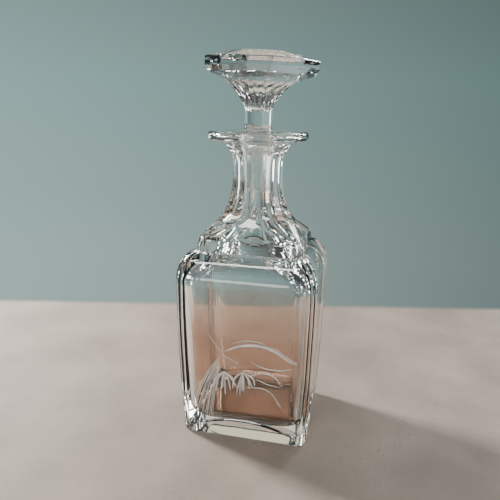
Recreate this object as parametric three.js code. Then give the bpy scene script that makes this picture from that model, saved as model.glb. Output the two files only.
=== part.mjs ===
// Four-sided cut-glass decanter with its ground-in stopper, in millimetres, +Z up.
// The origin is the middle of the flat underside. The four wide panels face -Y, +X, +Y and -X.
import * as THREE from "three";
import { ParametricGeometry } from "three/addons/geometries/ParametricGeometry.js";
import { mergeVertices } from "three/addons/utils/BufferGeometryUtils.js";

// Body: a block that is a little wider than deep and widens from foot to shoulder.
// A size in brackets is half the width along X, then half the depth along Y.
const BASE_HALF = [45.5, 38.6];
const SHOULDER_HALF = [49.2, 41.8]; // at the widest height
const BODY_BOW = 1.8; // 1 is a straight side; more bows it outwards
const SHOULDER_Z = 118; // height of the widest section
const FOOT_BEVEL = 1.2;
const BASE_CORNER = 5.7; // radius of the fluted corners at the foot
const SHOULDER_CORNER = 6.8;

// Each wide panel is hollowed, and its lower edge is an arch over the thick foot.
const PANEL_HOLLOW = 1.2;
const ARCH_SIDE_Z = 5;
const ARCH_RISE = 9.2;
const ARCH_STEP = 1.6;
const PANEL_START_GAP = 4.5; // from the arch's crown to the first straight row of the panel

// Shoulder and tier: the body rounds in to a smaller step under the neck.
const SHOULDER_RISE = 20.5;
const TIER_HALF = [37.3, 31.7];
const TIER_CORNER = 7.8;
const TIER_LEDGE = 0.4; // how far the shoulder's curve stops outside the tier's wall
const TIER_WALL = 2;
const TIER_ROUND_IN = 4.7;
const TIER_ROUND_UP = 8.8;
const TIER_ROUND_END = THREE.MathUtils.degToRad(70);

// Neck: round, with three flutes in each quarter that fan out to the tier's corners.
const FLUTES_PER_CORNER = 3;
const FLUTE_HOLLOW = 0.15; // depth of a flute as a share of its width
const NECK_RADIUS = 17.9; // at the waist
const NECK_FLARE_HEIGHT = 40; // from the tier up to the waist
const NECK_STRAIGHT = 3.4; // from the waist up to the start of the lip's flare
const FLARE_POWER = 2.3;
const FAN_HEIGHT = 16; // from the tier to the point of the arch between two fans
const FAN_POWER = 1.9;

// Lip: a flat round flange.
const LIP_RADIUS = 35;
const LIP_THICK = 6;
const LIP_FLARE_HEIGHT = 20.5; // from the neck up to the flange's underside
const LIP_FLARE_POWER = 2.5;
const FLUTE_FADE = 9; // the flutes die out over this height below the lip's underside
const MOUTH_ROUND = 0.8;

// Hollow inside.
const WALL = 4.1;
const FLOOR_THICK = 10;
const FLOOR_ROUND = 12;
const CAVITY_CORNER = 12;
const CAVITY_SHOULDER_DROP = 3; // below the outside's widest section
const CAVITY_SHOULDER_RISE = 19;
const CAVITY_SHOULDER_END = THREE.MathUtils.degToRad(60); // where the rounding meets the funnel
const FUNNEL_WALL = 8.9; // glass between the tier's wall and the widest part of the funnel inside it
const FUNNEL_POWER = 2.2;

// Stopper: a ground plug, an eight-sided stem, a fluted cone and a ten-sided disc.
const PLUG_RADIUS = 8.6; // at the top of the lip
const PLUG_TAPER = 0.045; // radius lost for each mm of depth
const PLUG_LENGTH = 40;
const PLUG_BEVEL = 1;
const SEAT_CLEARANCE = 0.2; // all round the plug
const SEAT_BELOW_PLUG = 2;
const STEM_GAP = 0.5; // from the top of the lip to the stem's foot
const STEM_HALF = 8.6; // across the flats, halved
const STEM_FOOT_HALF = 9.2;
const STEM_FOOT_HEIGHT = 4;
const STEM_HEIGHT = 12.1;
const STEM_SIDES = 8;
const CONE_RADIUS = 23.2;
const CONE_HEIGHT = 19.7;
const CONE_POWER = 1.5;
const CONE_FLUTES = 20;
const CONE_FLUTE_DEPTH = 0.9;
const DISC_RADIUS = 39.2; // to the corners
const DISC_SIDES = 10;
const DISC_UNDER_RISE = 4.8;
const DISC_EDGE_IN = 2.4;
const DISC_EDGE_RISE = 3.7;
const DISC_BAND = 5.3;
const CROWN_RADIUS = 20.5;
const CROWN_RISE = 4.9;
const TABLE_RISE = 1.2;
const HEAD_LEAN = THREE.MathUtils.degToRad(2); // the head leans this much to +X on its stem

// Mesh divisions.
const PANEL_CELLS = 4;
const FLUTE_CELLS = 2;
const STOPPER_CELLS = 80;

const { lerp, clamp } = THREE.MathUtils;
const QUARTER_TURN = Math.PI / 2;
const shareAlong = (value, from, to) => clamp((value - from) / (to - from), 0, 1);
const steps = (count, from = 0) =>
  Array.from({ length: count + 1 - from }, (_, i) => (i + from) / count);

// ---------- outside of the decanter ----------

// Sums on a pair of sizes, along X and along Y.
const both = (size) => [size, size];
const mixed = (from, to, share) => from.map((size, axis) => lerp(size, to[axis], share));
const inset = (sizes, by) => sizes.map((size) => size - by);

const bodyHalf = (z) =>
  mixed(BASE_HALF, SHOULDER_HALF, 1 - (1 - shareAlong(z, 0, SHOULDER_Z)) ** BODY_BOW);
const bodyCorner = (z) =>
  both(lerp(BASE_CORNER, SHOULDER_CORNER, shareAlong(z, 0, SHOULDER_Z)));

// A row is one closed section: half sizes, corner radii, height, and how deep its cuts are.
const row = (half, corner, z, cuts = {}) => ({ half, corner, z, hollow: 0, flutes: 0, ...cuts });
const roundRow = (radius, z, cuts) => row(both(radius), both(radius), z, cuts);

function footRows() {
  const arch = (extra) => (across) => ARCH_SIDE_Z + extra + ARCH_RISE * (1 - across * across);
  const half = bodyHalf(ARCH_SIDE_Z);
  return [
    roundRow(0, 0),
    row(inset(BASE_HALF, FOOT_BEVEL), bodyCorner(0), 0, { flutes: 1 }),
    row(bodyHalf(FOOT_BEVEL), bodyCorner(0), FOOT_BEVEL, { flutes: 1 }),
    row(half, bodyCorner(0), arch(0), { flutes: 1 }),
    row(half, bodyCorner(0), arch(ARCH_STEP), { flutes: 1, hollow: PANEL_HOLLOW }),
  ];
}

function bodyRows() {
  const start = ARCH_SIDE_Z + ARCH_RISE + ARCH_STEP + PANEL_START_GAP;
  return steps(5).map((share) => {
    const z = lerp(start, SHOULDER_Z, share);
    return row(bodyHalf(z), bodyCorner(z), z, { flutes: 1, hollow: PANEL_HOLLOW });
  });
}

// The shoulder is a quarter round that stops where it meets the ledge outside the tier.
function shoulderRows() {
  const end = Math.acos(TIER_LEDGE / (SHOULDER_HALF[1] - TIER_HALF[1]));
  return steps(6, 1).map((share) => {
    const turn = share * end;
    return row(
      mixed(TIER_HALF, SHOULDER_HALF, Math.cos(turn)),
      both(lerp(SHOULDER_CORNER, TIER_CORNER, share)),
      SHOULDER_Z + SHOULDER_RISE * Math.sin(turn),
      { flutes: 1, hollow: PANEL_HOLLOW },
    );
  });
}

const TIER_Z = SHOULDER_Z + SHOULDER_RISE;
const TIER_TOP = {
  half: inset(TIER_HALF, TIER_ROUND_IN * (1 - Math.cos(TIER_ROUND_END))),
  z: TIER_Z + TIER_WALL + TIER_ROUND_UP * Math.sin(TIER_ROUND_END),
};
const NECK_WAIST_Z = TIER_TOP.z + NECK_FLARE_HEIGHT;
const LIP_FLARE_START_Z = NECK_WAIST_Z + NECK_STRAIGHT;
const LIP_UNDER_Z = LIP_FLARE_START_Z + LIP_FLARE_HEIGHT;
const LIP_TOP_Z = LIP_UNDER_Z + LIP_THICK;

function tierRows() {
  const rounding = steps(4).map((share) => {
    const turn = share * TIER_ROUND_END;
    return row(
      inset(TIER_HALF, TIER_ROUND_IN * (1 - Math.cos(turn))),
      both(TIER_CORNER),
      TIER_Z + TIER_WALL + TIER_ROUND_UP * Math.sin(turn),
      { flutes: 1 },
    );
  });
  return [row(TIER_HALF, both(TIER_CORNER), TIER_Z, { flutes: 1 }), ...rounding];
}

// From the tier up, the flat of each panel narrows to a point, and the corners open to a circle.
function fanRow(z) {
  const neckward = 1 - shareAlong(z, TIER_TOP.z, NECK_WAIST_Z);
  const half = mixed(both(NECK_RADIUS), TIER_TOP.half, neckward ** FLARE_POWER);
  const narrowing = (1 - shareAlong(z, TIER_TOP.z, TIER_TOP.z + FAN_HEIGHT)) ** FAN_POWER;
  const corner = half.map((size, axis) => size - (TIER_TOP.half[axis] - TIER_CORNER) * narrowing);
  return row(half, corner, z, { flutes: 1 });
}

function neckRows() {
  const apex = TIER_TOP.z + FAN_HEIGHT;
  const fan = [0.12, 0.26, 0.44, 0.66, 1].map((share) => fanRow(lerp(TIER_TOP.z, apex, share)));
  const neck = [0.3, 0.6, 1].map((share) => fanRow(lerp(apex, NECK_WAIST_Z, share)));
  return [...fan, ...neck];
}

function lipRows() {
  const edge = LIP_THICK / 2;
  const reach = LIP_RADIUS - edge - NECK_RADIUS;
  const power = 2 / LIP_FLARE_POWER;
  const under = [0, 0.28, 0.42, 0.54, 0.65, 0.76, 0.88, 1].map((share) => {
    const turn = share * QUARTER_TURN;
    const z = LIP_FLARE_START_Z + LIP_FLARE_HEIGHT * Math.sin(turn) ** power;
    const radius = NECK_RADIUS + reach * (1 - Math.cos(turn) ** power);
    return roundRow(radius, z, { flutes: shareAlong(z, LIP_UNDER_Z, LIP_UNDER_Z - FLUTE_FADE) });
  });
  const rim = steps(6, 1).map((share) => {
    const turn = share * Math.PI;
    const radius = LIP_RADIUS - edge + edge * Math.sin(turn);
    return roundRow(radius, LIP_TOP_Z - edge - edge * Math.cos(turn));
  });
  return [...under, ...rim];
}

// ---------- inside of the decanter ----------

const plugRadius = (z) => PLUG_RADIUS - PLUG_TAPER * (LIP_TOP_Z - z);
const seatRadius = (z) => plugRadius(z) + SEAT_CLEARANCE;
const SEAT_BOTTOM_Z = LIP_TOP_Z - PLUG_LENGTH - SEAT_BELOW_PLUG;

function seatRows() {
  const start = LIP_TOP_Z - MOUTH_ROUND;
  return [
    roundRow(seatRadius(LIP_TOP_Z) + MOUTH_ROUND, LIP_TOP_Z),
    ...steps(3).map((share) => {
      const z = lerp(start, SEAT_BOTTOM_Z, share);
      return roundRow(seatRadius(z), z);
    }),
  ];
}

const CAVITY_SHOULDER_Z = SHOULDER_Z - CAVITY_SHOULDER_DROP;
const CAVITY_NECK_Z = CAVITY_SHOULDER_Z + CAVITY_SHOULDER_RISE;
const CAVITY_NECK_HALF = inset(TIER_HALF, FUNNEL_WALL);

function cavityRows() {
  const cavityHalf = (z) => inset(bodyHalf(z), WALL);
  const funnel = steps(5, 1).map((share) => {
    const half = mixed(both(seatRadius(SEAT_BOTTOM_Z)), CAVITY_NECK_HALF, share ** FUNNEL_POWER);
    return row(half, half, lerp(SEAT_BOTTOM_Z, CAVITY_NECK_Z, share));
  });
  const shoulder = [0.75, 0.5, 0.25, 0].map((share) => {
    const turn = share * CAVITY_SHOULDER_END;
    const inward = (1 - Math.cos(turn)) / (1 - Math.cos(CAVITY_SHOULDER_END));
    return row(
      mixed(cavityHalf(CAVITY_SHOULDER_Z), CAVITY_NECK_HALF, inward),
      mixed(both(CAVITY_CORNER), CAVITY_NECK_HALF, inward),
      CAVITY_SHOULDER_Z + (CAVITY_SHOULDER_RISE * Math.sin(turn)) / Math.sin(CAVITY_SHOULDER_END),
    );
  });
  const cavityRow = (half, z) => row(half, half.map((size) => Math.min(CAVITY_CORNER, size)), z);
  const floorStart = FLOOR_THICK + FLOOR_ROUND;
  const wall = [0.35, 0.7].map((share) => {
    const z = lerp(CAVITY_SHOULDER_Z, floorStart, share);
    return cavityRow(cavityHalf(z), z);
  });
  const floor = steps(5).map((share) => {
    const turn = share * QUARTER_TURN;
    const half = inset(cavityHalf(floorStart), FLOOR_ROUND * (1 - Math.cos(turn)));
    return cavityRow(half, floorStart - FLOOR_ROUND * Math.sin(turn));
  });
  return [...funnel, ...shoulder, ...wall, ...floor, roundRow(0, FLOOR_THICK)];
}

// ---------- the sections as a surface ----------

// One point of a section. A quarter holds a flat panel, then a corner cut into flutes.
// Panels across X take their width along X and stand off along Y; the other two swap the axes.
function sectionPoint({ half, corner, z, hollow, flutes }, cell, target) {
  const cornerCells = FLUTES_PER_CORNER * FLUTE_CELLS;
  const quarterCells = PANEL_CELLS + cornerCells;
  const quarter = Math.floor(cell / quarterCells);
  const place = cell - quarter * quarterCells;
  const along = quarter % 2;
  const outward = 1 - along;
  const across = clamp((2 * place) / PANEL_CELLS - 1, -1, 1);
  const turn = (Math.max(place - PANEL_CELLS, 0) / cornerCells) * QUARTER_TURN;
  const fluteWidth = ((corner[0] + corner[1]) * QUARTER_TURN) / (2 * FLUTES_PER_CORNER);
  const fluteCut =
    flutes * FLUTE_HOLLOW * fluteWidth * Math.abs(Math.sin(FLUTES_PER_CORNER * 2 * turn));
  const panelCut = hollow * (1 - across ** 4);
  const x =
    across * (half[along] - corner[along]) + (corner[along] - fluteCut) * Math.sin(turn);
  const y =
    half[outward] - corner[outward] + (corner[outward] - fluteCut) * Math.cos(turn) - panelCut;
  const angle = quarter * QUARTER_TURN;
  target.set(
    x * Math.cos(angle) + y * Math.sin(angle),
    x * Math.sin(angle) - y * Math.cos(angle),
    typeof z === "function" ? z(across) : z,
  );
}

// A closed surface through the rows, with its seam and its collapsed cells merged away.
function lofted(rows, cells, point) {
  const loft = new ParametricGeometry(
    (u, v, target) =>
      point(rows[Math.round(v * (rows.length - 1))], Math.round(u * cells) % cells, target),
    cells,
    rows.length - 1,
  );
  loft.deleteAttribute("normal");
  loft.deleteAttribute("uv");
  const merged = mergeVertices(loft, 1e-3);
  const corners = merged.index.array;
  const kept = [];
  for (let i = 0; i < corners.length; i += 3) {
    const [a, b, c] = corners.slice(i, i + 3);
    if (a !== b && b !== c && c !== a) kept.push(a, b, c);
  }
  merged.setIndex(kept);
  merged.computeVertexNormals();
  return merged;
}

function decanterGeometry() {
  const rows = [
    ...footRows(),
    ...bodyRows(),
    ...shoulderRows(),
    ...tierRows(),
    ...neckRows(),
    ...lipRows(),
    ...seatRows(),
    ...cavityRows(),
  ];
  const cells = 4 * (PANEL_CELLS + FLUTES_PER_CORNER * FLUTE_CELLS);
  return lofted(rows, cells, sectionPoint);
}

// ---------- stopper ----------

// Distance from the axis to the side of a regular polygon, one of whose sides faces -Y.
function polygonRadius(sides, toFlat, angle) {
  const half = Math.PI / sides;
  const inSide = THREE.MathUtils.euclideanModulo(angle + half, 2 * half) - half;
  return toFlat / Math.cos(inSide);
}

// The shapes that the stopper's rows blend between; angle 0 is -Y.
const round = (radius) => () => radius;
const octagon = (half) => (angle) => polygonRadius(STEM_SIDES, half, angle);
const decagon = (radius) => (angle) =>
  polygonRadius(DISC_SIDES, radius * Math.cos(Math.PI / DISC_SIDES), angle);
const fluted = (radius, depth) => (angle) =>
  radius - depth * Math.abs(Math.sin((angle * CONE_FLUTES) / 2));
const blend = (a, b, share) => (angle) => lerp(a(angle), b(angle), share);

const STEM_Z = LIP_TOP_Z + STEM_GAP;
const CONE_Z = STEM_Z + STEM_HEIGHT;
const DISC_Z = CONE_Z + CONE_HEIGHT;

function plugRows() {
  const bottom = LIP_TOP_Z - PLUG_LENGTH;
  return [
    { z: bottom, shape: round(0) },
    { z: bottom, shape: round(plugRadius(bottom) - PLUG_BEVEL) },
    { z: bottom + PLUG_BEVEL, shape: round(plugRadius(bottom + PLUG_BEVEL)) },
    { z: LIP_TOP_Z - PLUG_LENGTH / 2, shape: round(plugRadius(LIP_TOP_Z - PLUG_LENGTH / 2)) },
    { z: LIP_TOP_Z, shape: round(PLUG_RADIUS) },
  ];
}

function stemRows() {
  return [
    { z: STEM_Z, shape: octagon(STEM_FOOT_HALF) },
    { z: STEM_Z + STEM_FOOT_HEIGHT, shape: octagon(STEM_HALF) },
    { z: CONE_Z, shape: octagon(STEM_HALF) },
  ];
}

function coneRows() {
  return [0.15, 0.35, 0.6, 0.8, 1].map((share) => {
    const radius = lerp(STEM_HALF, CONE_RADIUS, share ** CONE_POWER);
    const cut = fluted(radius, CONE_FLUTE_DEPTH * clamp(share * 2, 0, 1));
    const stem = octagon(radius);
    return { z: CONE_Z + share * CONE_HEIGHT, shape: blend(stem, cut, clamp(share * 3, 0, 1)) };
  });
}

function discRows() {
  const edge = DISC_Z + DISC_UNDER_RISE;
  const band = edge + DISC_EDGE_RISE;
  const top = band + DISC_BAND;
  return [
    { z: DISC_Z, shape: round(CONE_RADIUS) },
    { z: edge, shape: decagon(DISC_RADIUS - DISC_EDGE_IN) },
    { z: band, shape: decagon(DISC_RADIUS) },
    { z: top, shape: decagon(DISC_RADIUS) },
    { z: top + CROWN_RISE, shape: decagon(CROWN_RADIUS) },
    { z: top + CROWN_RISE + TABLE_RISE, shape: round(0) },
  ];
}

// The head leans about the top of the stem; the lean grows up the cone and is whole at the disc.
function stopperPoint({ z, shape }, cell, target) {
  const angle = (cell / STOPPER_CELLS) * 2 * Math.PI;
  const radius = shape(angle);
  const x = radius * Math.sin(angle);
  const lean = HEAD_LEAN * shareAlong(z, CONE_Z, DISC_Z);
  const up = z - CONE_Z;
  target.set(
    x * Math.cos(lean) + up * Math.sin(lean),
    -radius * Math.cos(angle),
    CONE_Z + up * Math.cos(lean) - x * Math.sin(lean),
  );
}

function stopperGeometry() {
  const rows = [...plugRows(), ...stemRows(), ...coneRows(), ...discRows()];
  return lofted(rows, STOPPER_CELLS, stopperPoint);
}

// ---------- materials and assembly ----------

function polishedGlass() {
  return new THREE.MeshStandardMaterial({
    color: 0xe6eeec,
    roughness: 0.04,
    metalness: 0,
    transparent: true,
    opacity: 0.35,
  });
}

function stopperGlass() {
  const glass = polishedGlass();
  glass.color.set(0xeaf0f0);
  glass.roughness = 0.06;
  return glass;
}

function named(name, geometry, material) {
  const mesh = new THREE.Mesh(geometry, material);
  mesh.name = name;
  return mesh;
}

const wineDecanter = new THREE.Group();
wineDecanter.add(named("decanter", decanterGeometry(), polishedGlass()));
wineDecanter.add(named("stopper", stopperGeometry(), stopperGlass()));

export default wineDecanter;
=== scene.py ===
"""Cut-glass wine decanter with its ground stopper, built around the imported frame.

The glass is swept by Geometry Nodes from short profiles: each profile row says how wide, how
deep and how deeply cut its section is, and a tree turns the rows into a closed surface.
Sizes are in millimetres until a profile is made, and in metres after that.
"""

import math
import random

import bpy
from mathutils import Matrix, Vector


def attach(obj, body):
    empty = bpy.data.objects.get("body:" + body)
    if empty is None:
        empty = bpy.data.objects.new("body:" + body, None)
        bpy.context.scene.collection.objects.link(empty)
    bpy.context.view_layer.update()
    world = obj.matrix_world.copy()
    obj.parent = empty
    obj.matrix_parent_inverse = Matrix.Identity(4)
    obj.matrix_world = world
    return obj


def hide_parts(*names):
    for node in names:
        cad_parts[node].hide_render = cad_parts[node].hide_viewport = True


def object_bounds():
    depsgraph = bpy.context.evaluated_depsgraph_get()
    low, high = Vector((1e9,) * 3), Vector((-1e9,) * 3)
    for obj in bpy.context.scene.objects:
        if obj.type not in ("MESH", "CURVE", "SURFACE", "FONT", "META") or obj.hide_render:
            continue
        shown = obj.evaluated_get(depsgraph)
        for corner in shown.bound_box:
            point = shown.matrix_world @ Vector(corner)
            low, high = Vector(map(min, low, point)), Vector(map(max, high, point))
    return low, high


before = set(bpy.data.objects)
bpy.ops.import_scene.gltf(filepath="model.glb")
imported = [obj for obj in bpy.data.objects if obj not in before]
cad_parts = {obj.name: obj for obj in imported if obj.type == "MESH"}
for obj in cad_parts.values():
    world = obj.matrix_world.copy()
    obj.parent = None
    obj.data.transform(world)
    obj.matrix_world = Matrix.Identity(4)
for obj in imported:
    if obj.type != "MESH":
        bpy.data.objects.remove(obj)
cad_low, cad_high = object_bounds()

MM = 0.001
MERGE = 2e-6  # points closer than this are one
QUARTER_TURN = math.pi / 2

# ---------- sizes of the decanter; a pair is half the width, then half the depth ----------

BASE_HALF = (45.5, 38.6)
SHOULDER_HALF = (49.2, 41.8)
BODY_BOW = 1.8
SHOULDER_Z = 118
FOOT_BEVEL = 1.2
BASE_CORNER = 5.7
SHOULDER_CORNER = 6.8
PANEL_HOLLOW = 1.2
ARCH_SIDE_Z = 5
ARCH_RISE = 9.2
ARCH_STEP = 1.6
PANEL_START_GAP = 4.5

SHOULDER_RISE = 20.5
TIER_HALF = (37.3, 31.7)
TIER_CORNER = 7.8
TIER_LEDGE = 0.4
TIER_WALL = 2
TIER_ROUND_IN = 4.7
TIER_ROUND_UP = 8.8
TIER_ROUND_END = math.radians(70)

FLUTES_PER_CORNER = 3
FLUTE_HOLLOW = 0.15
NECK_RADIUS = 17.9
NECK_FLARE_HEIGHT = 40
NECK_STRAIGHT = 3.4
FLARE_POWER = 2.3
FAN_HEIGHT = 16
FAN_POWER = 1.9

LIP_RADIUS = 35
LIP_THICK = 6
LIP_FLARE_HEIGHT = 20.5
LIP_FLARE_POWER = 2.5
FLUTE_FADE = 9
MOUTH_ROUND = 0.8

WALL = 4.1
FLOOR_THICK = 10
FLOOR_ROUND = 12
CAVITY_CORNER = 12
CAVITY_SHOULDER_DROP = 3
CAVITY_SHOULDER_RISE = 19
CAVITY_SHOULDER_END = math.radians(60)
FUNNEL_WALL = 8.9
FUNNEL_POWER = 2.2

# ---------- sizes of the stopper ----------

PLUG_RADIUS = 8.6
PLUG_TAPER = 0.045
PLUG_LENGTH = 40
PLUG_BEVEL = 1
SEAT_CLEARANCE = 0.2
SEAT_BELOW_PLUG = 2
STEM_GAP = 0.5
STEM_HALF = 8.6
STEM_FOOT_HALF = 9.2
STEM_FOOT_HEIGHT = 4
STEM_HEIGHT = 12.1
STEM_SIDES = 8
CONE_RADIUS = 23.2
CONE_HEIGHT = 19.7
CONE_POWER = 1.5
CONE_FLUTES = 20
CONE_FLUTE_DEPTH = 0.9
DISC_RADIUS = 39.2
DISC_SIDES = 10
DISC_UNDER_RISE = 4.8
DISC_EDGE_IN = 2.4
DISC_EDGE_RISE = 3.7
DISC_BAND = 5.3
CROWN_RADIUS = 20.5
CROWN_RISE = 4.9
TABLE_RISE = 1.2
HEAD_LEAN = math.radians(2)

# ---------- how finely the glass is divided ----------

PANEL_CELLS = 24
FLUTE_CELLS = 8
STOPPER_CELLS = 240
SHARP_ANGLE = math.radians(24)
EDGE_CHAMFER = 0.45  # how far an edge of the disc is polished back along each face


def share_along(value, start, end):
    return min(max((value - start) / (end - start), 0), 1)


def lerp(a, b, share):
    return a + (b - a) * share


def mixed(a, b, share):
    return tuple(lerp(x, y, share) for x, y in zip(a, b))


def inset(sizes, by):
    return tuple(size - by for size in sizes)


def both(size):
    return (size, size)


def steps(count, first=0):
    return [i / count for i in range(first, count + 1)]


# ---------- node trees ----------


class Value:
    """A socket that carries numbers. Arithmetic on it adds Math nodes to its tree."""

    def __init__(self, tree, socket):
        self.tree = tree
        self.socket = socket

    def math(self, operation, *others, flip=False):
        terms = [self, *others]
        if flip:
            terms.reverse()
        return self.tree.value("ShaderNodeMath", {"operation": operation}, dict(enumerate(terms)))

    def __add__(self, other):
        return self.math("ADD", other)

    def __sub__(self, other):
        return self.math("SUBTRACT", other)

    def __rsub__(self, other):
        return self.math("SUBTRACT", other, flip=True)

    def __mul__(self, other):
        return self.math("MULTIPLY", other)

    def __truediv__(self, other):
        return self.math("DIVIDE", other)

    def __rtruediv__(self, other):
        return self.math("DIVIDE", other, flip=True)

    def __pow__(self, power):
        return self.math("POWER", power)

    def __lt__(self, other):
        return self.math("LESS_THAN", other)

    def __gt__(self, other):
        return self.math("GREATER_THAN", other)

    def __abs__(self):
        return self.math("ABSOLUTE")

    def between(self, low, high):
        return self.math("MAXIMUM", low).math("MINIMUM", high)

    __radd__ = __add__
    __rmul__ = __mul__


class Tree:
    """A node tree, with one method that adds any node."""

    def __init__(self, node_tree):
        self.nodes = node_tree.nodes
        self.links = node_tree.links
        self.nodes.clear()

    def node(self, kind, settings=None, sockets=None):
        made = self.nodes.new(kind)
        for name, setting in (settings or {}).items():
            setattr(made, name, setting)
        for key, given in (sockets or {}).items():
            target = made.inputs[key]
            given = getattr(given, "socket", given)
            if isinstance(given, bpy.types.NodeSocket):
                self.links.new(given, target)
            else:
                target.default_value = given
        return made

    def value(self, kind, settings=None, sockets=None, output=0):
        return Value(self, self.node(kind, settings, sockets).outputs[output])


def new_material(name):
    """An empty material, its tree, and the place on the piece that its patterns start from."""
    material = bpy.data.materials.new(name)
    material.use_nodes = True
    tree = Tree(material.node_tree)
    return material, tree, tree.node("ShaderNodeTexCoord").outputs["Object"]


def noise(tree, place, scale, detail):
    return tree.value(
        "ShaderNodeTexNoise", sockets={"Vector": place, "Scale": scale, "Detail": detail}
    )


def blended(tree, share, color, other):
    """The first colour where the share is 0 and the other where it is 1."""
    mix = tree.node("ShaderNodeMix", {"data_type": "RGBA"}, {0: share, 6: color, 7: other})
    return mix.outputs[2]


def bumped(tree, height, strength):
    return tree.value(
        "ShaderNodeBump", sockets={"Height": height, "Distance": 1, "Strength": strength}
    )


def finish(tree, shader, output="ShaderNodeOutputMaterial"):
    tree.node(output, sockets={"Surface": shader.outputs[0]})


def add_object(name, data):
    made = bpy.data.objects.new(name, data)
    bpy.context.scene.collection.objects.link(made)
    return made


# ---------- sweeping a surface from rows ----------


def rows_object(name, rows):
    """A mesh with one point for each row; each of a row's numbers becomes a point attribute."""
    mesh = bpy.data.meshes.new(name)
    mesh.from_pydata([(0, 0, 0)] * len(rows), [], [])
    for key in rows[0]:
        attribute = mesh.attributes.new(key, "FLOAT", "POINT")
        attribute.data.foreach_set("value", [float(row[key]) for row in rows])
    return add_object(name, mesh)


def sweep_tree(name, sizes, point_of):
    """A Geometry Nodes tree that spreads cells round each row and places every point by a rule."""
    group = bpy.data.node_groups.new(name, "GeometryNodeTree")
    interface = group.interface
    interface.new_socket("Geometry", in_out="OUTPUT", socket_type="NodeSocketGeometry")
    interface.new_socket("Rows", in_out="INPUT", socket_type="NodeSocketGeometry")
    for size in (*sizes, "Cells", "Sharp Angle"):
        interface.new_socket(size, in_out="INPUT", socket_type="NodeSocketFloat")
    interface.new_socket("Glass", in_out="INPUT", socket_type="NodeSocketMaterial")
    tree = Tree(group)
    inputs = tree.node("NodeGroupInput").outputs
    given = {size: Value(tree, inputs[size]) for size in (*sizes, "Cells", "Sharp Angle")}
    count = tree.value(
        "GeometryNodeAttributeDomainSize", {"component": "MESH"}, {0: inputs["Rows"]}
    )
    grid = tree.node(
        "GeometryNodeMeshGrid",
        sockets={"Vertices X": given["Cells"] + 1, "Vertices Y": count},
    )
    index = tree.value("GeometryNodeInputIndex")
    row_index = index.math("FLOORED_MODULO", count)
    cell = ((index - row_index) / count).math("FLOORED_MODULO", given["Cells"])

    def row_value(key):
        named = tree.value("GeometryNodeInputNamedAttribute", {"data_type": "FLOAT"}, {"Name": key})
        return tree.value(
            "GeometryNodeSampleIndex",
            {"data_type": "FLOAT", "domain": "POINT"},
            {0: inputs["Rows"], "Value": named, "Index": row_index},
        )

    x, y, z = point_of(given, cell, row_value)
    place = tree.value("ShaderNodeCombineXYZ", sockets={0: x, 1: y, 2: z})
    placed = tree.value("GeometryNodeSetPosition", sockets={0: grid.outputs[0], "Position": place})
    closed = tree.value("GeometryNodeMergeByDistance", sockets={0: placed, "Distance": MERGE})
    bend = tree.value("GeometryNodeInputMeshEdgeAngle")
    smooth = tree.value(
        "GeometryNodeSetShadeSmooth",
        {"domain": "EDGE"},
        {0: closed, "Shade Smooth": bend < given["Sharp Angle"]},
    )
    real = tree.value("GeometryNodeRealizeInstances", sockets={0: smooth})
    glass = tree.value("GeometryNodeSetMaterial", sockets={0: real, "Material": inputs["Glass"]})
    tree.node("NodeGroupOutput", sockets={0: glass})
    return group


def swept_from(name, source, group, **inputs):
    """Runs a tree on the source and returns the result as a plain mesh object."""
    modifier = source.modifiers.new("sweep", "NODES")
    modifier.node_group = group
    sockets = {item.name: item.identifier for item in group.interface.items_tree}
    for key, given in inputs.items():
        modifier[sockets[key.replace("_", " ")]] = given
    evaluated = source.evaluated_get(bpy.context.evaluated_depsgraph_get())
    mesh = bpy.data.meshes.new_from_object(evaluated)
    bpy.data.objects.remove(source)
    mesh.name = name
    return add_object(name, mesh)


# ---------- profile of the decanter ----------


def body_half(z):
    return mixed(BASE_HALF, SHOULDER_HALF, 1 - (1 - share_along(z, 0, SHOULDER_Z)) ** BODY_BOW)


def body_corner(z):
    return both(lerp(BASE_CORNER, SHOULDER_CORNER, share_along(z, 0, SHOULDER_Z)))


def row(half, corner, z, rise=0, hollow=0, cut=0, fade=0):
    """One section. Rise lifts the middle of a panel, cut is a flute's depth as a share of its
    width, and fade is the depth that the wheel has left the flutes by."""
    lifted = body_half(z + rise)[0] - body_half(z)[0] if rise else 0
    return {
        "half_x": half[0] * MM, "half_y": half[1] * MM,
        "corner_x": corner[0] * MM, "corner_y": corner[1] * MM,
        "height": z * MM, "rise": rise * MM, "bulge": lifted * MM,
        "hollow": hollow * MM, "cut": cut, "fade": fade * MM,
    }


def round_row(radius, z, **cuts):
    return row(both(radius), both(radius), z, **cuts)


def foot_rows():
    rows = [round_row(0, 0)]
    for turn in steps(4):
        angle = turn * QUARTER_TURN
        half = inset(body_half(FOOT_BEVEL), FOOT_BEVEL * (1 - math.sin(angle)))
        rows.append(row(half, body_corner(0), FOOT_BEVEL * (1 - math.cos(angle)), cut=FLUTE_HOLLOW))
    for share in steps(3, 1):
        z = lerp(FOOT_BEVEL, ARCH_SIDE_Z, share)
        rise = ARCH_RISE * share
        rows.append(row(body_half(z), body_corner(z), z, rise=rise, cut=FLUTE_HOLLOW))
    for share in steps(3, 1):
        z = ARCH_SIDE_Z + ARCH_STEP * share
        hollow = PANEL_HOLLOW * math.sin(share * QUARTER_TURN)
        rows.append(
            row(body_half(z), body_corner(z), z, rise=ARCH_RISE, hollow=hollow, cut=FLUTE_HOLLOW)
        )
    return rows


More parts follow.
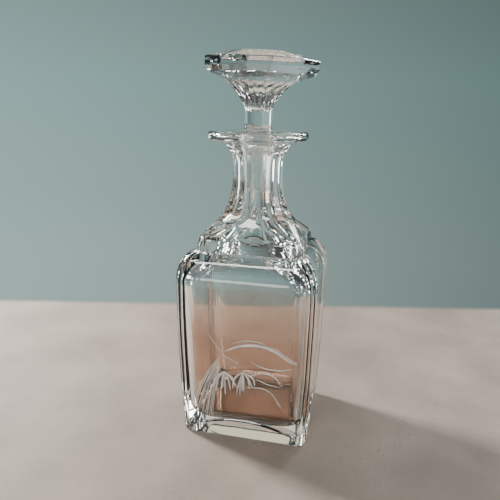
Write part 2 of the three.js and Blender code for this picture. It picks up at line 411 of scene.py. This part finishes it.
def body_rows():
    """The panel's rows straighten out above the arch over the foot."""
    start = ARCH_SIDE_Z + ARCH_STEP
    straight = start + ARCH_RISE + PANEL_START_GAP
    rows = []
    for share in steps(24, 1):
        z = lerp(start, SHOULDER_Z, share)
        rise = ARCH_RISE * (1 - share_along(z, start, 2.5 * straight)) ** 2
        rows.append(
            row(body_half(z), body_corner(z), z, rise=rise, hollow=PANEL_HOLLOW, cut=FLUTE_HOLLOW)
        )
    return rows


def shoulder_rows():
    end = math.acos(TIER_LEDGE / (SHOULDER_HALF[1] - TIER_HALF[1]))
    return [
        row(
            mixed(TIER_HALF, SHOULDER_HALF, math.cos(share * end)),
            both(lerp(SHOULDER_CORNER, TIER_CORNER, share)),
            SHOULDER_Z + SHOULDER_RISE * math.sin(share * end),
            hollow=PANEL_HOLLOW,
            cut=FLUTE_HOLLOW,
        )
        for share in steps(20, 1)
    ]


TIER_Z = SHOULDER_Z + SHOULDER_RISE
TIER_TOP_HALF = inset(TIER_HALF, TIER_ROUND_IN * (1 - math.cos(TIER_ROUND_END)))
TIER_TOP_Z = TIER_Z + TIER_WALL + TIER_ROUND_UP * math.sin(TIER_ROUND_END)
NECK_WAIST_Z = TIER_TOP_Z + NECK_FLARE_HEIGHT
LIP_FLARE_START_Z = NECK_WAIST_Z + NECK_STRAIGHT
LIP_UNDER_Z = LIP_FLARE_START_Z + LIP_FLARE_HEIGHT
LIP_TOP_Z = LIP_UNDER_Z + LIP_THICK


def tier_rows():
    rows = [row(TIER_HALF, both(TIER_CORNER), TIER_Z, cut=FLUTE_HOLLOW)]
    for share in steps(12):
        turn = share * TIER_ROUND_END
        half = inset(TIER_HALF, TIER_ROUND_IN * (1 - math.cos(turn)))
        z = TIER_Z + TIER_WALL + TIER_ROUND_UP * math.sin(turn)
        rows.append(row(half, both(TIER_CORNER), z, cut=FLUTE_HOLLOW))
    return rows


def fan_row(z):
    neckward = 1 - share_along(z, TIER_TOP_Z, NECK_WAIST_Z)
    half = mixed(both(NECK_RADIUS), TIER_TOP_HALF, neckward**FLARE_POWER)
    narrowing = (1 - share_along(z, TIER_TOP_Z, TIER_TOP_Z + FAN_HEIGHT)) ** FAN_POWER
    corner = [size - (top - TIER_CORNER) * narrowing for size, top in zip(half, TIER_TOP_HALF)]
    return row(half, corner, z, cut=FLUTE_HOLLOW)


def neck_rows():
    return [fan_row(lerp(TIER_TOP_Z, NECK_WAIST_Z, share**1.3)) for share in steps(44, 1)]


def lip_rows():
    edge = LIP_THICK / 2
    reach = LIP_RADIUS - edge - NECK_RADIUS
    power = 2 / LIP_FLARE_POWER
    rows = []
    for share in steps(28):
        turn = share * QUARTER_TURN
        z = LIP_FLARE_START_Z + LIP_FLARE_HEIGHT * math.sin(turn) ** power
        radius = NECK_RADIUS + reach * (1 - math.cos(turn) ** power)
        leaving = share_along(z, LIP_UNDER_Z - FLUTE_FADE, LIP_UNDER_Z - 1)
        rows.append(round_row(radius, z, cut=FLUTE_HOLLOW, fade=2 * leaving**2))
    for share in steps(18, 1):
        turn = share * math.pi
        radius = LIP_RADIUS - edge + edge * math.sin(turn)
        rows.append(round_row(radius, LIP_TOP_Z - edge - edge * math.cos(turn)))
    return rows


def plug_radius(z):
    return PLUG_RADIUS - PLUG_TAPER * (LIP_TOP_Z - z)


def seat_radius(z):
    return plug_radius(z) + SEAT_CLEARANCE


SEAT_BOTTOM_Z = LIP_TOP_Z - PLUG_LENGTH - SEAT_BELOW_PLUG


def seat_rows():
    mouth = seat_radius(LIP_TOP_Z)
    rows = [
        round_row(
            mouth + MOUTH_ROUND * (1 - math.sin(share * QUARTER_TURN)),
            LIP_TOP_Z - MOUTH_ROUND * (1 - math.cos(share * QUARTER_TURN)),
        )
        for share in steps(4)
    ]
    for share in steps(6, 1):
        z = lerp(LIP_TOP_Z - MOUTH_ROUND, SEAT_BOTTOM_Z, share)
        rows.append(round_row(seat_radius(z), z))
    return rows


CAVITY_SHOULDER_Z = SHOULDER_Z - CAVITY_SHOULDER_DROP
CAVITY_NECK_Z = CAVITY_SHOULDER_Z + CAVITY_SHOULDER_RISE
CAVITY_NECK_HALF = inset(TIER_HALF, FUNNEL_WALL)


def cavity_half(z):
    return inset(body_half(z), WALL)


def cavity_rows():
    rows = []
    for share in steps(20, 1):
        half = mixed(both(seat_radius(SEAT_BOTTOM_Z)), CAVITY_NECK_HALF, share**FUNNEL_POWER)
        rows.append(row(half, half, lerp(SEAT_BOTTOM_Z, CAVITY_NECK_Z, share)))
    for share in steps(14, 1):
        turn = (1 - share) * CAVITY_SHOULDER_END
        inward = (1 - math.cos(turn)) / (1 - math.cos(CAVITY_SHOULDER_END))
        risen = CAVITY_SHOULDER_RISE * math.sin(turn) / math.sin(CAVITY_SHOULDER_END)
        rows.append(
            row(
                mixed(cavity_half(CAVITY_SHOULDER_Z), CAVITY_NECK_HALF, inward),
                mixed(both(CAVITY_CORNER), CAVITY_NECK_HALF, inward),
                CAVITY_SHOULDER_Z + risen,
            )
        )
    floor_start = FLOOR_THICK + FLOOR_ROUND
    for share in steps(8, 1):
        z = lerp(CAVITY_SHOULDER_Z, floor_start, share)
        rows.append(row(cavity_half(z), both(CAVITY_CORNER), z))
    for share in steps(12, 1):
        turn = share * QUARTER_TURN
        half = inset(cavity_half(floor_start), FLOOR_ROUND * (1 - math.cos(turn)))
        rows.append(row(half, both(CAVITY_CORNER), floor_start - FLOOR_ROUND * math.sin(turn)))
    return [*rows, round_row(0, FLOOR_THICK)]


def section_point(given, cell, row_value):
    """A quarter of a section holds a flat panel, then a corner cut into flutes."""
    panel = given["Cells per Panel"]
    corner_cells = given["Cells per Flute"] * FLUTES_PER_CORNER
    quarter_cells = panel + corner_cells
    quarter = (cell / quarter_cells + 1e-4).math("FLOOR")
    place = cell - quarter * quarter_cells
    swapped = quarter.math("FLOORED_MODULO", 2)

    def along_and_outward(key):
        x, y = row_value(key + "_x"), row_value(key + "_y")
        return x + (y - x) * swapped, y + (x - y) * swapped

    half_along, half_outward = along_and_outward("half")
    corner_along, corner_outward = along_and_outward("corner")
    across = (place * 2 / panel - 1).between(-1, 1)
    turn = (place - panel).math("MAXIMUM", 0) / corner_cells * QUARTER_TURN
    flute_width = (corner_along + corner_outward) * (QUARTER_TURN / 2 / FLUTES_PER_CORNER)
    groove = abs((turn * (2 * FLUTES_PER_CORNER)).math("SINE"))
    flute_cut = (row_value("cut") * flute_width * groove - row_value("fade")).math("MAXIMUM", 0)
    panel_cut = row_value("hollow") * (1 - across.math("POWER", 2) ** 2)
    lift = 1 - across * across
    along = across * (half_along - corner_along) + (corner_along - flute_cut) * turn.math("SINE")
    outward = (
        half_outward
        - corner_outward
        + (corner_outward - flute_cut) * turn.math("COSINE")
        - panel_cut
        + row_value("bulge") * lift
    )
    angle = quarter * QUARTER_TURN
    x = along * angle.math("COSINE") + outward * angle.math("SINE")
    y = along * angle.math("SINE") - outward * angle.math("COSINE")
    return x, y, row_value("height") + row_value("rise") * lift


def make_decanter(glass):
    rows = [
        *foot_rows(), *body_rows(), *shoulder_rows(), *tier_rows(),
        *neck_rows(), *lip_rows(), *seat_rows(), *cavity_rows(),
    ]
    group = sweep_tree("decanter_sweep", ("Cells per Panel", "Cells per Flute"), section_point)
    cells = 4 * (PANEL_CELLS + FLUTES_PER_CORNER * FLUTE_CELLS)
    return swept_from(
        "decanter_glass", rows_object("decanter_rows", rows), group,
        Cells=cells, Cells_per_Panel=PANEL_CELLS, Cells_per_Flute=FLUTE_CELLS,
        Sharp_Angle=SHARP_ANGLE, Glass=glass,
    )


# ---------- profile of the stopper ----------

STEM_Z = LIP_TOP_Z + STEM_GAP
CONE_Z = STEM_Z + STEM_HEIGHT
DISC_Z = CONE_Z + CONE_HEIGHT


def stopper_row(z, radius, sides=STEM_SIDES, flat=0, depth=0):
    """Radius is to the middle of a side. Flat is 1 for a polygon and 0 for a circle."""
    return {
        "radius": radius * MM, "sides": sides, "flat": flat,
        "depth": depth * MM, "height": z * MM,
    }


def plug_rows():
    bottom = LIP_TOP_Z - PLUG_LENGTH
    rows = [stopper_row(bottom, 0)]
    for share in steps(4):
        turn = share * QUARTER_TURN
        z = bottom + PLUG_BEVEL * (1 - math.cos(turn))
        rows.append(stopper_row(z, plug_radius(z) - PLUG_BEVEL * (1 - math.sin(turn))))
    for share in steps(8, 1):
        z = lerp(bottom + PLUG_BEVEL, LIP_TOP_Z, share)
        rows.append(stopper_row(z, plug_radius(z)))
    return rows


def stem_rows():
    heights = (STEM_Z, STEM_Z + STEM_FOOT_HEIGHT, CONE_Z)
    halves = (STEM_FOOT_HALF, STEM_HALF, STEM_HALF)
    return [stopper_row(z, half, flat=1) for z, half in zip(heights, halves)]


def cone_rows():
    rows = []
    for share in steps(24, 1):
        radius = lerp(STEM_HALF, CONE_RADIUS, share**CONE_POWER)
        rows.append(
            stopper_row(
                CONE_Z + share * CONE_HEIGHT,
                radius,
                flat=1 - share_along(share, 0, 0.33),
                depth=CONE_FLUTE_DEPTH * share_along(share, 0, 0.5),
            )
        )
    return rows


def chamfered(corners, before, after):
    """Splits each corner of a profile in two, so that its edge has a narrow polished chamfer."""
    line = [before, *corners, after]
    split = []
    for last, corner, following in zip(line, line[1:], line[2:]):
        for other in (last, following):
            split.append(mixed(corner, other, EDGE_CHAMFER / math.dist(corner, other)))
    return split


def disc_rows():
    edge = DISC_Z + DISC_UNDER_RISE
    band = edge + DISC_EDGE_RISE
    top = band + DISC_BAND
    to_flat = math.cos(math.pi / DISC_SIDES)
    crown = top + CROWN_RISE
    corners = (
        (edge, DISC_RADIUS - DISC_EDGE_IN),
        (band, DISC_RADIUS),
        (top, DISC_RADIUS),
        (crown, CROWN_RADIUS),
    )
    rows = [
        stopper_row(z, radius * to_flat, sides=DISC_SIDES, flat=1)
        for z, radius in chamfered(corners, (DISC_Z, CONE_RADIUS), (crown + TABLE_RISE, 0))
    ]
    return [*rows, stopper_row(crown + TABLE_RISE, 0, sides=DISC_SIDES, flat=1)]


def stopper_point(given, cell, row_value):
    """Polygons and circles blend by the row; cone flutes are cut between their ridges."""
    angle = cell / given["Cells"] * (2 * math.pi)
    half_side = math.pi / row_value("sides")
    in_side = (angle + half_side).math("FLOORED_MODULO", half_side * 2) - half_side
    polygon = 1 / in_side.math("COSINE")
    ridges = abs((angle * given["Cone Flutes"] / 2).math("SINE"))
    rounded = 1 + (polygon - 1) * row_value("flat")
    radius = row_value("radius") * rounded - row_value("depth") * ridges
    x = radius * angle.math("SINE")
    height = row_value("height")
    up = height - CONE_Z * MM
    lean = (up / (CONE_HEIGHT * MM)).between(0, 1) * given["Lean"]
    return (
        x * lean.math("COSINE") + up * lean.math("SINE"),
        radius * angle.math("COSINE") * -1,
        up * lean.math("COSINE") - x * lean.math("SINE") + CONE_Z * MM,
    )


def make_stopper(glass):
    rows = [*plug_rows(), *stem_rows(), *cone_rows(), *disc_rows()]
    group = sweep_tree("stopper_sweep", ("Cone Flutes", "Lean"), stopper_point)
    return swept_from(
        "stopper_glass", rows_object("stopper_rows", rows), group,
        Cells=STOPPER_CELLS, Cone_Flutes=CONE_FLUTES, Lean=HEAD_LEAN,
        Sharp_Angle=SHARP_ANGLE, Glass=glass,
    )


# ---------- glass ----------

GLASS_IOR = 1.54
PAINTED_CAST_TOP = 0.108  # in metres; the painted brown cast on the inner wall, which stands in for the shaded table seen through the glass, fades out below this
PAINTED_CAST_FADE = 0.03
# painted shade: the brown of the shaded table seen through the glass
PAINTED_CAST_COLOR = (0.64, 0.40, 0.29, 1)
INNER_WALL_REACH = 2.5  # inside the outer wall by this much, a point is on the inner wall
GROUND_REACH = 0.1  # the ground finish starts within this of the seat or the plug
CLEAR = (1, 1, 1, 1)


def painted_cast_amount(x, y, z, smears):
    """How much of the painted brown cast a point holds, a tint that stands in for the shaded table
    seen through the glass: only the inside of the lower body has any.
    """
    inside = z > FLOOR_THICK * MM / 2
    for across, base, shoulder in zip((x, y), BASE_HALF, SHOULDER_HALF):
        slope = (shoulder - base) / SHOULDER_Z
        inside = inside * (abs(across) < z * slope + (base - INNER_WALL_REACH) * MM)
    fading = ((PAINTED_CAST_TOP - z) / PAINTED_CAST_FADE + (smears - 0.5) * 1.2).between(0, 1)
    return inside * fading * (0.65 + smears * 0.7).between(0, 1)


def make_glass(name, ground_below, ground_above, ground_radius, tint, painted_cast):
    """Polished lead glass with smears, faint scratches and slow ripples, ground to a satin
    finish inside the seat or on the plug."""
    material, tree, place = new_material(name)
    parts = tree.node("ShaderNodeSeparateXYZ", sockets={0: place}).outputs
    x, y, z = (Value(tree, part) for part in parts)
    radius = (x * x + y * y) ** 0.5
    within = radius < (ground_radius + GROUND_REACH) * MM
    ground = within * (z > ground_above * MM) * (z < ground_below * MM)

    smears = noise(tree, place, 34, 5)
    grain = noise(tree, place, 2200, 2)
    stretched = tree.node(
        "ShaderNodeMapping",
        sockets={"Vector": place, "Rotation": (0.5, 0.3, 0.7), "Scale": (1, 9, 1)},
    )
    lines = noise(tree, stretched.outputs[0], 380, 2)
    scratches = ((lines - 0.66) * 12).between(0, 1) * ((smears - 0.48) * 6).between(0, 1)
    smeared = (smears - 0.45).between(0, 1) * 0.06
    roughness = smeared + ground * (0.2 + 0.12 * grain) + 0.12 * scratches

    ripples = noise(tree, place, 42, 1)
    normal = bumped(tree, ripples * 0.00012 + ground * grain * 0.00002, 0.6)
    color = blended(tree, smears, (*tint, 1), CLEAR)
    # painted shade: a brown cast on the inner wall of the lower body, standing in for the shaded
    # table seen through the glass
    if painted_cast:
        color = blended(tree, painted_cast_amount(x, y, z, smears), color, PAINTED_CAST_COLOR)
    shader = tree.node(
        "ShaderNodeBsdfPrincipled",
        sockets={
            "Base Color": color, "Roughness": roughness, "IOR": GLASS_IOR,
            "Transmission Weight": 1, "Normal": normal,
        },
    )
    finish(tree, shader)
    return material


# ---------- engraving on the front panel ----------

# Each stroke is (half width, point, point, ...); a point is across the panel, then up it.
LEAF_LINES = (
    (1.0, (-15, 68), (-5.5, 73.5), (5, 76.3), (13.7, 76.3), (23, 73.6), (30, 69.3), (37, 65)),
    (0.3, (-7.6, 76.6), (1.6, 79.3), (12.2, 79.5), (19.3, 76.2)),
    (0.36, (-15, 67.2), (-8, 63.6), (-1.8, 61.2)),
    (0.4, (5.4, 64.5), (12, 61.2), (19.7, 59.5), (28, 60.2), (36.3, 62.6)),
    (0.42, (3.4, 51), (10, 54.6), (16.2, 56), (23.3, 53.8), (27.7, 47.4)),
    (0.34, (9, 51), (18.5, 47.6), (27.8, 46.6)),
    (0.32, (2, 42.8), (14.3, 43.8), (21.6, 40.2), (28.3, 29.2)),
    (0.3, (-15, 82), (-14, 68), (-12.7, 55)),
    (0.26, (-25, 82), (-20, 75), (-15, 68)),
)
LONG_LEAF, SMALL_LEAF = LEAF_LINES[0], LEAF_LINES[4]
TUFTS = (((0.4, 55), (-8, 9), 24), ((-13.4, 54), (-8, 9), 23))  # apex, spread, length
TUFT_BLADES = 8
HATCH_LINES = 22
HATCH_HALF_WIDTH = 0.15
TICK_GAP = 0.8  # between a line and the ticks above it
STROKE_POINTS = 14
CUT_SIDES = 6
ENGRAVING_SUNK = 0.6  # share of a stroke's half width that its middle lies below the glass
DRAWING_Y = -0.1  # strokes are drawn this far in front, then laid back on the panel
ORNAMENT_SEED = 5


def tuft(random_source, apex, spread, length):
    """Blades that fan down from one point, the outer ones shorter and more curved."""
    strokes = []
    for i in range(TUFT_BLADES):
        out = lerp(spread[0], spread[1], i / (TUFT_BLADES - 1)) + random_source.uniform(-1, 1)
        drop = length * (1 - 0.4 * (abs(out) / spread[1]) ** 1.5) * random_source.uniform(0.6, 1)
        bow = random_source.uniform(0.5, 0.85)
        middle = (apex[0] + bow * out, apex[1] - 0.4 * drop)
        tip = (apex[0] + out, apex[1] - drop)
        strokes.append((random_source.uniform(0.4, 0.7), apex, middle, tip))
    return strokes


def hatching(random_source):
    """Fine shading lines that fan down and left from the end of the long leaf."""
    strokes = []
    for i in range(HATCH_LINES):
        share = i / (HATCH_LINES - 1)
        start = (-15.2 - 1.5 * share, lerp(68, 56, share) + random_source.uniform(-1.5, 1.5))
        end = (lerp(-39, -23, share), lerp(16, 10, share) + random_source.uniform(-4, 6))
        middle = (lerp(start[0], end[0], 0.6), lerp(start[1], end[1], 0.45))
        strokes.append((HATCH_HALF_WIDTH, start, middle, end))
    return strokes


def ticks(line, first, count, length, half_width):
    """Short cuts above a line, set out evenly from the share that is given to its end."""
    _, *points = line
    strokes = []
    for share in steps(count):
        along = lerp(first, 1, share) * (len(points) - 1)
        i = min(int(along), len(points) - 2)
        (x0, z0), (x1, z1) = points[i : i + 2]
        x, z = lerp(x0, x1, along - i), lerp(z0, z1, along - i) + TICK_GAP
        scale = length / math.hypot(x1 - x0, z1 - z0)
        dx, dz = (z0 - z1) * scale, (x1 - x0) * scale
        strokes.append((half_width, (x, z), (x + dx / 2, z + dz / 2), (x + dx, z + dz)))
    return strokes


def engraving_strokes():
    random_source = random.Random(ORNAMENT_SEED)
    strokes = [*LEAF_LINES]
    for apex, spread, length in TUFTS:
        strokes += tuft(random_source, apex, spread, length)
    strokes += hatching(random_source)
    strokes += ticks(LONG_LEAF, 0.6, 13, 1.9, 0.5)
    strokes += ticks(SMALL_LEAF, 0.15, 11, 1.1, 0.42)
    return strokes


def engraving_tree():
    """Lays each stroke on the glass and sweeps a tapered cut along it."""
    group = bpy.data.node_groups.new("engraving_cuts", "GeometryNodeTree")
    interface = group.interface
    interface.new_socket("Geometry", in_out="OUTPUT", socket_type="NodeSocketGeometry")
    interface.new_socket("Strokes", in_out="INPUT", socket_type="NodeSocketGeometry")
    interface.new_socket("Panel", in_out="INPUT", socket_type="NodeSocketObject")
    interface.new_socket("Points per Stroke", in_out="INPUT", socket_type="NodeSocketInt")
    interface.new_socket("Sunk", in_out="INPUT", socket_type="NodeSocketFloat")
    interface.new_socket("Frost", in_out="INPUT", socket_type="NodeSocketMaterial")
    tree = Tree(group)
    inputs = tree.node("NodeGroupInput").outputs
    width = tree.value(
        "GeometryNodeInputNamedAttribute", {"data_type": "FLOAT"}, {"Name": "half_width"}
    )
    lines = tree.value("GeometryNodeMeshToCurve", sockets={"Mesh": inputs["Strokes"]})
    curves = tree.value(
        "GeometryNodeCurveSplineType", {"spline_type": "CATMULL_ROM"}, {"Curve": lines}
    )
    even = tree.value(
        "GeometryNodeResampleCurve",
        sockets={"Curve": curves, "Count": inputs["Points per Stroke"]},
    )
    along = tree.value("GeometryNodeSplineParameter")
    taper = (along * (1 - along) * 4).math("POWER", 0.6) * width
    panel = tree.node("GeometryNodeObjectInfo", sockets={"Object": inputs["Panel"]})
    hit = tree.node(
        "GeometryNodeRaycast",
        sockets={
            "Target Geometry": panel.outputs["Geometry"],
            "Ray Direction": (0, 1, 0), "Ray Length": 1,
        },
    )
    sunk = tree.value(
        "ShaderNodeCombineXYZ", sockets={1: taper * Value(tree, inputs["Sunk"])}
    )
    place = tree.value(
        "ShaderNodeVectorMath", {"operation": "ADD"}, {0: hit.outputs["Hit Position"], 1: sunk}
    )
    laid = tree.value("GeometryNodeSetPosition", sockets={0: even, "Position": place})
    ring = tree.value(
        "GeometryNodeCurvePrimitiveCircle", sockets={"Resolution": CUT_SIDES, "Radius": 1}
    )
    cut = tree.value(
        "GeometryNodeCurveToMesh",
        sockets={"Curve": laid, "Profile Curve": ring, "Scale": taper},
    )
    closed = tree.value("GeometryNodeMergeByDistance", sockets={0: cut, "Distance": MERGE})
    real = tree.value("GeometryNodeRealizeInstances", sockets={0: closed})
    frosted = tree.value("GeometryNodeSetMaterial", sockets={0: real, "Material": inputs["Frost"]})
    tree.node("NodeGroupOutput", sockets={0: frosted})
    return group


def make_engraving(panel, frost):
    points, edges, widths = [], [], []
    for half_width, *stroke in engraving_strokes():
        edges += [(len(points) + i, len(points) + i + 1) for i in range(len(stroke) - 1)]
        points += [(x * MM, DRAWING_Y, z * MM) for x, z in stroke]
        widths += [half_width * MM] * len(stroke)
    mesh = bpy.data.meshes.new("engraving_strokes")
    mesh.from_pydata(points, edges, [])
    mesh.attributes.new("half_width", "FLOAT", "POINT").data.foreach_set("value", widths)
    return swept_from(
        "engraving", add_object("engraving_strokes", mesh), engraving_tree(),
        Panel=panel, Points_per_Stroke=STROKE_POINTS, Sunk=ENGRAVING_SUNK, Frost=frost,
    )


def make_frost():
    """Glass that a fine wheel has left white and slightly see-through."""
    material, tree, place = new_material("engraved_frost")
    grain = noise(tree, place, 1400, 3)
    broad = noise(tree, place, 120, 2)
    shader = tree.node(
        "ShaderNodeBsdfPrincipled",
        sockets={
            "Base Color": blended(tree, broad, (0.88, 0.90, 0.89, 1), (1, 0.99, 0.97, 1)),
            "Roughness": 0.45 + 0.3 * grain,
            "Alpha": (broad * 0.9 + 0.34).between(0, 1),
            "Normal": bumped(tree, grain * 0.00003, 1),
        },
    )
    finish(tree, shader)
    return material


# ---------- camera, floor and light ----------

CAMERA_BACK = 361.5  # along the floor from the decanter's axis
CAMERA_HEIGHT = 236.9
CAMERA_ROUND = math.radians(12.16)  # to the right of straight on
CAMERA_DOWN = math.radians(15.97)
CAMERA_TURN = math.radians(0.73)
CAMERA_ROLL = math.radians(0.76)
LENS = 36.9


def make_camera():
    lens = bpy.data.cameras.new("camera")
    lens.lens = LENS
    lens.sensor_width = 36
    lens.clip_start = 0.01
    camera = add_object("camera", lens)
    bpy.context.scene.camera = camera
    camera.location = (
        CAMERA_BACK * MM * math.sin(CAMERA_ROUND),
        -CAMERA_BACK * MM * math.cos(CAMERA_ROUND),
        CAMERA_HEIGHT * MM,
    )
    camera.rotation_mode = "XYZ"
    turn = Matrix.Rotation(CAMERA_ROUND + CAMERA_TURN, 3, "Z")
    tip = Matrix.Rotation(QUARTER_TURN - CAMERA_DOWN, 3, "X")
    roll = Matrix.Rotation(CAMERA_ROLL, 3, "Z")
    camera.rotation_euler = (turn @ tip @ roll).to_euler()


FLOOR_RADIUS = 0.7
FLOOR_SIDES = 96
FLOOR_GAP = 0.0002  # below the decanter's foot, so that the two faces don't meet
FLOOR_ROUND_FADE = 0.2  # the floor's round edge fades out over this
FLOOR_BACK_EDGE = 0.228  # the floor ends in a straight edge this far behind the decanter
FLOOR_BACK_FADE = 0.012


def floor_coverage(tree, place):
    """1 on the floor, fading to 0 at its round edge and at its straight back edge."""
    x, y, _ = tree.node("ShaderNodeSeparateXYZ", sockets={0: place}).outputs
    x, y = Value(tree, x), Value(tree, y)
    behind = y * math.cos(CAMERA_ROUND) - x * math.sin(CAMERA_ROUND)
    distance = (x * x + y * y) ** 0.5
    round_edge = ((FLOOR_RADIUS - distance) / FLOOR_ROUND_FADE).between(0, 1)
    back_edge = ((FLOOR_BACK_EDGE - behind) / FLOOR_BACK_FADE).between(0, 1)
    return round_edge * back_edge


def make_floor():
    material, tree, place = new_material("pale_stone")
    cloud = noise(tree, place, 14, 7)
    grit = noise(tree, place, 260, 4)
    pits = ((grit - 0.58) * 9).between(0, 1) * (cloud * 2.4 - 0.9).between(0, 1)
    mottle = (cloud * 1.5 + grit * 0.5 - 0.5).between(0, 1)
    stone = blended(tree, mottle, (0.135, 0.112, 0.096, 1), (0.285, 0.247, 0.213, 1))
    shader = tree.node(
        "ShaderNodeBsdfPrincipled",
        sockets={
            "Base Color": blended(tree, pits * 0.8, stone, (0.12, 0.09, 0.075, 1)),
            "Roughness": 0.6 + grit * 0.2,
            "Normal": bumped(tree, grit * 0.0002 - pits * 0.0004, 0.5),
        },
    )
    clear = tree.node("ShaderNodeBsdfTransparent")
    faded = tree.node(
        "ShaderNodeMixShader",
        sockets={0: floor_coverage(tree, place), 1: clear.outputs[0], 2: shader.outputs[0]},
    )
    finish(tree, faded)
    bpy.ops.mesh.primitive_circle_add(
        vertices=FLOOR_SIDES, radius=FLOOR_RADIUS, fill_type="NGON"
    )
    floor = bpy.context.object
    floor.name = "floor"
    floor.location.z = -FLOOR_GAP
    floor.data.materials.append(material)


WALL_STRENGTH = 0.97
WALL_DIMMING = 0.55  # the wall lights plain surfaces less than it shows in glass
WALL_COLORS = (  # from straight down to straight up
    (0, (0.30, 0.29, 0.28, 1)),
    (0.36, (0.28, 0.385, 0.37, 1)),
    (0.52, (0.215, 0.345, 0.33, 1)),
    (0.66, (0.15, 0.185, 0.18, 1)),
    (1, (0.10, 0.105, 0.105, 1)),
)
# Upright bands of light and shade: bearing from +Y towards +X in degrees, sharpness, change.
ROOM_BANDS = (
    (55, 9, -0.6),
    (92, 60, 2.2),
    (176, 30, -0.6),
    (205, 45, 2.6),
    (300, 4, 0.6),
    (40, 4, -0.5),
)


def make_room():
    """A plain room: a wall that pales towards the floor, with soft upright bands of light and
    shade round it, which the cut glass shows."""
    world = bpy.data.worlds.new("studio")
    world.use_nodes = True
    bpy.context.scene.world = world
    tree = Tree(world.node_tree)
    direction = tree.node("ShaderNodeTexCoord").outputs["Generated"]
    parts = tree.node("ShaderNodeSeparateXYZ", sockets={0: direction}).outputs
    x, y, up = (Value(tree, part) for part in parts)
    level = (x * x + y * y + 1e-6) ** 0.5
    diffuse = tree.value("ShaderNodeLightPath", output="Is Diffuse Ray")
    strength = WALL_STRENGTH - diffuse * WALL_DIMMING
    for bearing, sharpness, change in ROOM_BANDS:
        turn = math.radians(bearing)
        facing = ((x * math.sin(turn) + y * math.cos(turn)) / level).between(0, 1)
        strength = strength * (1 + change * facing**sharpness)
    ramp = tree.node("ShaderNodeValToRGB", sockets={0: up * 0.5 + 0.5})
    while len(ramp.color_ramp.elements) < len(WALL_COLORS):
        ramp.color_ramp.elements.new(0.5)
    for element, (position, color) in zip(ramp.color_ramp.elements, WALL_COLORS):
        element.position = position
        element.color = color
    background = tree.node(
        "ShaderNodeBackground", sockets={"Color": ramp.outputs[0], "Strength": strength}
    )
    finish(tree, background, "ShaderNodeOutputWorld")


# Name, place, width, height, power, colour.
SOFTBOXES = (
    ("key", (-1.0, 0.35, 0.75), 0.2, 0.3, 50, (1, 0.95, 0.88)),
    ("back", (0.5, 1.0, 0.8), 0.25, 0.5, 8, (0.95, 0.98, 1)),
    ("fill", (1.1, -0.7, 0.7), 0.4, 0.7, 6, (0.93, 0.97, 1)),
    ("glint", (-0.2, -0.8, 0.66), 0.5, 0.12, 5, (1, 0.97, 0.92)),
    ("left_rim", (-0.72, 0.56, 0.3), 0.1, 0.7, 3.5, (1, 0.96, 0.86)),
    ("right_rim", (0.75, 0.52, 0.3), 0.08, 0.6, 2.5, (0.95, 1, 1)),
    ("foot_glow", (-0.19, 0.89, 0.64), 0.5, 0.22, 0.3, (1, 0.88, 0.6)),
    ("warm_glint", (0.8, 0.15, 0.22), 0.12, 0.12, 2, (1, 0.66, 0.4)),
)


def make_softbox(name, place, width, height, power, color):
    """A soft lamp that faces the middle of the decanter."""
    lamp = bpy.data.lights.new(name, "AREA")
    lamp.shape = "RECTANGLE"
    lamp.size, lamp.size_y = width, height
    lamp.energy = power
    lamp.color = color
    made = add_object(name, lamp)
    made.location = place
    facing = Vector((0, 0, cad_high.z / 2)) - Vector(place)
    made.rotation_euler = facing.to_track_quat("-Z", "Y").to_euler()


# ---------- assembly ----------

make_camera()
# the decanter's glass carries the painted brown cast that stands in for the shaded table seen
# through it
decanter_material = make_glass(
    "polished_lead_glass", LIP_TOP_Z, SEAT_BOTTOM_Z, PLUG_RADIUS + SEAT_CLEARANCE,
    tint=(0.965, 0.985, 0.98), painted_cast=True,
)
stopper_material = make_glass(
    "stopper_lead_glass", LIP_TOP_Z, 0, PLUG_RADIUS, tint=(0.975, 0.985, 0.985), painted_cast=False
)
decanter = make_decanter(decanter_material)
stopper = make_stopper(stopper_material)
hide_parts("decanter")
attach(decanter, "decanter")
engraving = make_engraving(decanter, make_frost())
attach(engraving, "decanter")
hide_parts("stopper")
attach(stopper, "stopper")
make_floor()
make_room()
for softbox in SOFTBOXES:
    make_softbox(*softbox)
